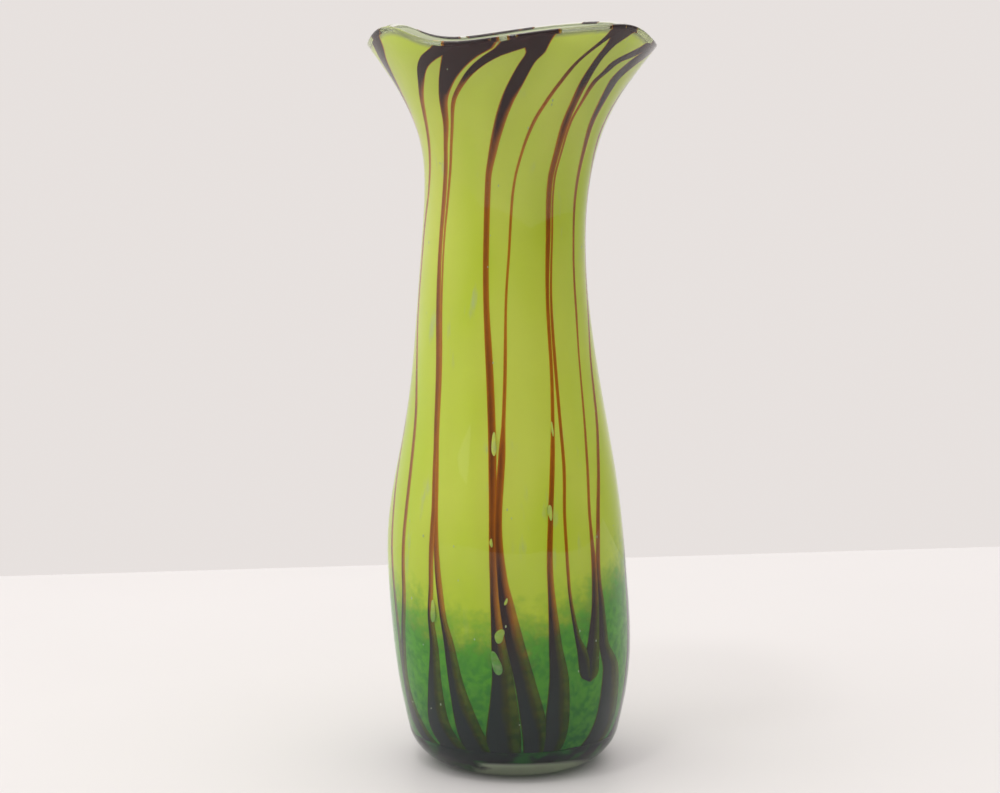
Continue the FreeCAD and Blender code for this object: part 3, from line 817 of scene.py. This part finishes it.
class Trail:
    """One trail of dark glass, lying on the lime like a lens-shaped ribbon"""

    def __init__(self, layers, course, turned):
        chart = np.array(course, float)[::-1]
        pooled = chart[0, 0] == 0
        chart[0, 0] = sizes().base_wall / MM + 2.5 if pooled else chart[0, 0]
        self.layers = layers
        self.centre = tight_curve(chart[:, 0], np.radians(chart[:, 1] + turned))
        self.width = tight_curve(chart[:, 0], chart[:, 2])
        self.low, self.pooled = chart[0, 0], pooled

    def row(self, level_mm, fade=1.0):
        """Outer points, under points, thickness and angles across the trail at one height."""
        across = np.linspace(-1, 1, ACROSS)
        across = np.sign(across) * np.abs(across) ** 0.85
        width = self.width(level_mm) * MM * fade
        colour = self.layers.colour
        level = np.full(ACROSS, level_mm * MM)
        radius = self.layers.wall.half_x(level) - colour.depth
        angle = self.centre(level_mm) + across * width / 2 / radius
        wet = self.layers.wall.rim(angle) - sizes().clear_lip
        level = np.minimum(level, wet)
        bulge = np.sqrt(np.maximum(1 - across ** 2, 0))
        tall = min(sizes().trail_wall * 0.92, 0.26 * width)
        outer = colour.at(angle, level, tall * bulge)
        under = colour.at(angle, level, -SUNK)
        return outer, under, self.thickness(across, width, level_mm), angle

    @staticmethod
    def thickness(across, width, level_mm):
        """0 where the dark glass is thin, 1 where it is near black."""
        size = np.clip(width / MM / 6.0, 0, 1)
        high = ease(level_mm, 60, 105)
        even = (1 - across ** 2) ** 0.5 * (0.24 + 0.85 * size) * (1 - 0.22 * across)
        even = np.clip(even, 0, 1)
        rightward = np.clip((0.62 - across) / 1.25, 0, 1)
        left_edge = np.clip((across + 1) / 0.10, 0, 1)
        foot = 1 - ease(level_mm, 14, 34)
        leaning = (rightward * (1.0 + 0.8 * foot) + 0.15) * left_edge * (0.78 + 0.32 * size)
        leaning = np.clip(leaning, 0, 1)
        rim = ease(level_mm, 272, 293)
        spread = np.clip((1 - np.abs(across)) / 0.16, 0, 1) * (0.62 + 0.6 * size)
        body = even * (1 - rim) + spread * rim
        return body * high + leaning * (1 - high)

    def skin(self):
        """Points, faces and thicknesses of the closed ribbon."""
        levels = np.arange(self.low, HEIGHT / MM, DOWN_STEP)[::-1]
        outers, unders, thick = [], [], []
        for level in levels:
            blunt = min((level - self.low) / self.width(self.low) / 0.5, 1)
            fade = 1.0 if self.pooled else max(0.12, math.sqrt(1 - (1 - blunt) ** 2))
            outer, under, heavy = self.row(level, fade)[:3]
            outers.append(outer)
            unders.append(under)
            thick.append(heavy)
        over = self.over_edge(levels[0])
        outers, unders = over + outers, over + unders
        thick = [thick[0]] * len(over) + thick
        rows = len(outers)
        points = [p for row in outers for p in row] + [p for row in unders for p in row]
        offset = rows * ACROSS
        faces = []
        for r in range(rows - 1):
            for c in range(ACROSS - 1):
                a, b = r * ACROSS + c, r * ACROSS + c + 1
                d, e = a + ACROSS, b + ACROSS
                faces.append((a, d, e, b))
                faces.append((offset + a, offset + b, offset + e, offset + d))
            left, right = r * ACROSS, r * ACROSS + ACROSS - 1
            faces.append((left, offset + left, offset + left + ACROSS, left + ACROSS))
            faces.append((right, right + ACROSS, offset + right + ACROSS, offset + right))
        last = (rows - 1) * ACROSS
        for c in range(ACROSS - 1):
            faces.append((c, c + 1, offset + c + 1, offset + c))
            faces.append((last + c + 1, last + c, offset + last + c, offset + last + c + 1))
        return points, faces, np.concatenate(thick + thick)

    def over_edge(self, level_mm):
        """Rows of points where the trail lies over the colour's upper edge, from the bore out."""
        angle = self.row(level_mm)[3]
        wall, colour, bore = self.layers.wall, self.layers.colour.depth, self.layers.bore.depth
        top = wall.rim(angle) - sizes().clear_lip
        return [wall.point(angle, top + lift * MM, bore + (colour - bore) * share)
                for share, lift in OVER_EDGE]


class VASE_OT_dark_trails(bpy.types.Operator):
    """Makes the trails of dark glass, each its own piece"""
    bl_idname = "vase.dark_trails"
    bl_label = "Dark trails"

    def execute(self, context):
        layers = Layers()
        material = shared("dark_finish", dark_material)
        for number, (course, turned) in enumerate(TRAILS, start=1):
            points, faces, thick = Trail(layers, course, turned).skin()
            made = piece_from(f"dark_trail_glass_{number:02d}", points, faces)
            add_attribute(made, "thickness", thick)
            keep(made, material, f"dark_trail_{number:02d}", "dark_glass")
        return {"FINISHED"}


# ---------------------------------------------------------------------------------------------
# Trapped air
# ---------------------------------------------------------------------------------------------

# Blisters drawn out in the dark glass: height and degrees round from the front to the right,
# width and length in millimetres, and lean to the right in degrees.
BLISTERS = [(139.5, -6.9, 2.2, 8.4, 0), (101, -6.9, 1.3, 3.2, 0), (77.5, -1.0, 1.2, 2.8, 20),
            (63.5, -5.2, 3.9, 5.6, 32), (52, -7.6, 4.2, 9.0, -14), (112.5, 22.6, 1.8, 6.6, 0),
            (145, 27.0, 1.0, 5.5, 0), (71, -38.8, 2.8, 8.4, 4)]


def blister(surface, level_mm, degrees, wide, long, lean, rows=8, around=20):
    """A flat drop of trapped air on top of a trail."""
    rings = []
    turn = angles(around)
    slant = math.radians(lean)
    for k in range(1, 2 * rows):
        swing = math.pi * k / (2 * rows)
        reach, proud = math.sin(swing), math.cos(swing)
        reach = reach * (1 + 0.14 * np.sin(2 * turn + level_mm) + 0.09 * np.sin(3 * turn - level_mm))
        across, along = np.sin(turn) * wide / 2 * reach, -np.cos(turn) * long / 2 * reach
        x = across * math.cos(slant) + along * math.sin(slant)
        z = along * math.cos(slant) - across * math.sin(slant)
        level = (level_mm + z) * MM
        angle = math.radians(degrees) + x * MM / (surface.wall.half_x(level) - surface.depth)
        rings.append(surface.at(angle, level, (0.15 - 0.45 * proud) * MM))
    return closed_skin(rings)


class VASE_OT_blisters(bpy.types.Operator):
    """Makes the drawn-out bubbles that break the dark trails"""
    bl_idname = "vase.blisters"
    bl_label = "Drawn-out bubbles"

    def execute(self, context):
        surface = Layers().trails
        points, faces = [], []
        for chart in BLISTERS:
            own_points, own_faces = blister(surface, *chart)
            faces += [tuple(i + len(points) for i in face) for face in own_faces]
            points += own_points
        made = piece_from("drawn_out_bubbles", points, faces)
        made.data.materials.append(shared("blister_finish", blister_material))
        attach(made, "root")
        return {"FINISHED"}


class VASE_OT_seeds(bpy.types.Operator):
    """Scatters seeds, the pin-head bubbles, in the clear glass just over the colour"""
    bl_idname = "vase.seeds"
    bl_label = "Seeds"

    def execute(self, context):
        layers, angle = Layers(), angles(SMALL_ROUND)
        rings = layers.colour.rings(SEED_ROWS, HEIGHT - 3 * sizes().clear_lip, angle)
        sheet = piece_from("seed_sheet", *joined_rings(rings))
        tree = seed_tree()
        scatter = sheet.modifiers.new("seeds", "NODES")
        scatter.node_group = tree
        wanted = {"Density": sizes().seed_density, "Size": sizes().seed_size,
                  "Depth": sizes().trail_wall + 0.4 * MM}
        for item in tree.interface.items_tree:
            if item.name in wanted:
                scatter[item.identifier] = wanted[item.name]
        graph = context.evaluated_depsgraph_get()
        mesh = bpy.data.meshes.new_from_object(sheet.evaluated_get(graph), depsgraph=graph)
        bpy.data.objects.remove(sheet)
        made = bpy.data.objects.new("seed_bubbles", mesh)
        context.scene.collection.objects.link(made)
        mesh.polygons.foreach_set("use_smooth", [True] * len(mesh.polygons))
        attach(made, "root")
        return {"FINISHED"}


def seed_tree():
    """Nodes that scatter small upright drops on a surface, a little proud of it."""
    tree = bpy.data.node_groups.new("seed_bubbles", "GeometryNodeTree")
    for name, kind, way in (("Sheet", "NodeSocketGeometry", "INPUT"),
                            ("Density", "NodeSocketFloat", "INPUT"),
                            ("Size", "NodeSocketFloat", "INPUT"),
                            ("Depth", "NodeSocketFloat", "INPUT"),
                            ("Seeds", "NodeSocketGeometry", "OUTPUT")):
        tree.interface.new_socket(name, in_out=way, socket_type=kind)

    def add(kind, settings=None, **links):
        made = tree.nodes.new(kind)
        for key, value in (settings or {}).items():
            setattr(made, key, value)
        for key, value in links.items():
            socket = made.inputs[key.replace("_", " ")]
            if isinstance(value, bpy.types.NodeSocket):
                tree.links.new(value, socket)
            else:
                socket.default_value = value
        return made

    start = add("NodeGroupInput").outputs
    spread = add("GeometryNodeDistributePointsOnFaces", Mesh=start["Sheet"],
                 Density=start["Density"], Seed=7)
    lift = add("ShaderNodeVectorMath", {"operation": "SCALE"}, Vector=spread.outputs["Normal"],
               Scale=start["Depth"])
    raised = add("GeometryNodeSetPosition", Geometry=spread.outputs["Points"],
                 Offset=lift.outputs["Vector"])
    drop = add("GeometryNodeMeshIcoSphere", Radius=1.0, Subdivisions=2)
    size = add("FunctionNodeRandomValue", {"data_type": "FLOAT_VECTOR"}, Seed=11)
    size.inputs[0].default_value, size.inputs[1].default_value = (0.4, 0.4, 0.5), (1.0, 1.0, 2.2)
    scaled = add("ShaderNodeVectorMath", {"operation": "SCALE"}, Vector=size.outputs[0],
                 Scale=start["Size"])
    placed = add("GeometryNodeInstanceOnPoints", Points=raised.outputs["Geometry"],
                 Instance=drop.outputs["Mesh"], Scale=scaled.outputs["Vector"])
    real = add("GeometryNodeRealizeInstances", Geometry=placed.outputs["Instances"])
    painted = add("GeometryNodeSetMaterial", Geometry=real.outputs["Geometry"],
                  Material=shared("seed_finish", seed_material))
    add("NodeGroupOutput", Seeds=painted.outputs["Geometry"])
    return tree


# The painted foot-light ring's section: share of the foot's half width, and height in millimetres.
FOOT_LIGHT_SECTION = [(0.60, 0.3), (0.80, 0.25), (1.0, 0.3), (1.0, 0.5), (0.80, 0.6), (0.60, 0.6)]


class VASE_OT_foot_light_ring(bpy.types.Operator):
    """Makes a pale ring round the pontil hollow, just inside the foot, painted as floor light refracted
    through the thick clear base
    """
    bl_idname = "vase.ground_foot"
    # The pale ring is painted light: floor light seen through the thick clear base
    bl_label = "Ground foot"

    def execute(self, context):
        outside, angle = Layers().outside, angles(SMALL_ROUND)
        edge = outside.at(angle, np.full_like(angle, 0.3 * MM))
        centre = edge.mean(axis=0)
        rings = []
        for share, level in FOOT_LIGHT_SECTION:
            ring = centre + (edge - centre) * share
            ring[:, 2] = level * MM
            rings.append(ring)
        made = piece_from("foot_light_ring", *joined_rings(rings, closed=True))
        made.data.materials.append(shared("foot_light_finish", foot_light_material))
        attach(made, "root")
        return {"FINISHED"}


# ---------------------------------------------------------------------------------------------
# Stage
# ---------------------------------------------------------------------------------------------


def area_light(name, at, aim, width, height, power, tint=(1.0, 0.97, 0.94)):
    data = bpy.data.lights.new(name, "AREA")
    data.shape, data.size, data.size_y = "RECTANGLE", width, height
    data.energy, data.color = power, tint
    made = bpy.data.objects.new(name, data)
    bpy.context.scene.collection.objects.link(made)
    made.location = at
    made.rotation_mode = "QUATERNION"
    made.rotation_quaternion = (Vector(aim) - Vector(at)).to_track_quat("-Z", "Y")
    return made


class VASE_OT_stage(bpy.types.Operator):
    """Sets the pale floor, the soft light and the camera"""
    bl_idname = "vase.stage"
    bl_label = "Stage"

    def execute(self, context):
        scene = context.scene
        self.floor()
        self.world(scene)
        middle = (0, 0, HEIGHT / 2)
        area_light("left_window", (-1.6, -0.9, 1.2), middle, 1.6, 1.6, 7)
        area_light("ceiling_lamp", (-0.35, -0.55, 1.7), middle, 0.2, 0.2, 3)
        area_light("right_window", (1.6, -1.0, 1.2), middle, 1.2, 1.4, 1.4)
        self.camera(scene)
        scene.view_settings.view_transform = "Standard"
        return {"FINISHED"}

    @staticmethod
    def floor():
        level = CAD_BOX[0].z
        corners = [(-1.6, -2.2, level), (1.6, -2.2, level), (1.6, 0.61, level), (-1.6, 0.16, level)]
        made = piece_from("floor", corners, [(0, 1, 2, 3)], smooth=False)
        finish = Finish("floor_paint", Roughness=0.45, Specular_IOR_Level=0.2)
        own = colours()
        pale = finish.noise(120, detail=2.0)
        darker = tuple(0.97 * part for part in own.floor)
        made.data.materials.append(finish.paint(
            Base_Color=finish.mix(pale, tuple(own.floor), darker)))

    @staticmethod
    def world(scene):
        scene.world = bpy.data.worlds.new("room_light")
        scene.world.use_nodes = True
        tree = scene.world.node_tree
        sky = tree.nodes["Background"]
        spot = tree.nodes.new("ShaderNodeTexCoord")
        turn = tree.nodes.new("ShaderNodeSeparateXYZ")
        tree.links.new(spot.outputs["Generated"], turn.inputs["Vector"])
        sky.inputs["Color"].default_value = (*colours().room, 1.0)

        def share(axis, start, end, weak, strong):
            """The room's light from one side to the other, eased between two directions."""
            made = tree.nodes.new("ShaderNodeMapRange")
            made.interpolation_type = "SMOOTHSTEP"
            for key, value in (("From Min", start), ("From Max", end), ("To Min", weak),
                               ("To Max", strong)):
                made.inputs[key].default_value = value
            tree.links.new(turn.outputs[axis], made.inputs["Value"])
            return made.outputs["Result"]

        def add(first, second):
            made = tree.nodes.new("ShaderNodeMath")
            tree.links.new(first, made.inputs[0])
            tree.links.new(second, made.inputs[1])
            return made.outputs[0]

        light = add(share("Y", -1.0, 0.2, 0.33, 1.0), share("X", -0.3, -0.95, 0.0, 0.35))
        light = add(light, share("X", 0.3, 0.95, 0.0, -0.45))
        tree.links.new(add(light, share("Z", 0.15, 0.9, 0.0, 1.0)), sky.inputs["Strength"])

    @staticmethod
    def camera(scene):
        data = bpy.data.cameras.new("camera")
        data.lens, data.sensor_width = 88.06, 36.0
        made = bpy.data.objects.new("camera", data)
        scene.collection.objects.link(made)
        made.location = (-0.0045, -1.0, 0.300)
        made.rotation_euler = (math.radians(90 - 8.37), 0, 0)
        scene.camera = made


# ---------------------------------------------------------------------------------------------
# Panel and registration
# ---------------------------------------------------------------------------------------------

OPERATORS = (VASE_OT_stage, VASE_OT_inner_lining, VASE_OT_lime_overlay, VASE_OT_powder_band,
             VASE_OT_base_pool, VASE_OT_dark_trails, VASE_OT_blisters, VASE_OT_seeds,
             VASE_OT_foot_light_ring, VASE_OT_clear_casing)


class VASE_PT_panel(bpy.types.Panel):
    """Lists the vase's steps, sizes and colours"""
    bl_label = "Vase"
    bl_idname = "VASE_PT_panel"
    bl_space_type = "VIEW_3D"
    bl_region_type = "UI"
    bl_category = "Vase"

    def draw(self, context):
        for step in OPERATORS:
            self.layout.operator(step.bl_idname)
        for group in (context.scene.vase_sizes, context.scene.vase_colours):
            for name in group.__annotations__:
                self.layout.prop(group, name)


CLASSES = (VaseSizes, VaseColours, *OPERATORS, VASE_PT_panel)


def register():
    for made in CLASSES:
        bpy.utils.register_class(made)
    bpy.types.Scene.vase_sizes = bpy.props.PointerProperty(type=VaseSizes)
    bpy.types.Scene.vase_colours = bpy.props.PointerProperty(type=VaseColours)


def unregister():
    del bpy.types.Scene.vase_colours
    del bpy.types.Scene.vase_sizes
    for made in reversed(CLASSES):
        bpy.utils.unregister_class(made)


def main():
    register()
    for step in OPERATORS:
        group, name = step.bl_idname.split(".")
        getattr(getattr(bpy.ops, group), name)()


if __name__ == "__main__":
    main()
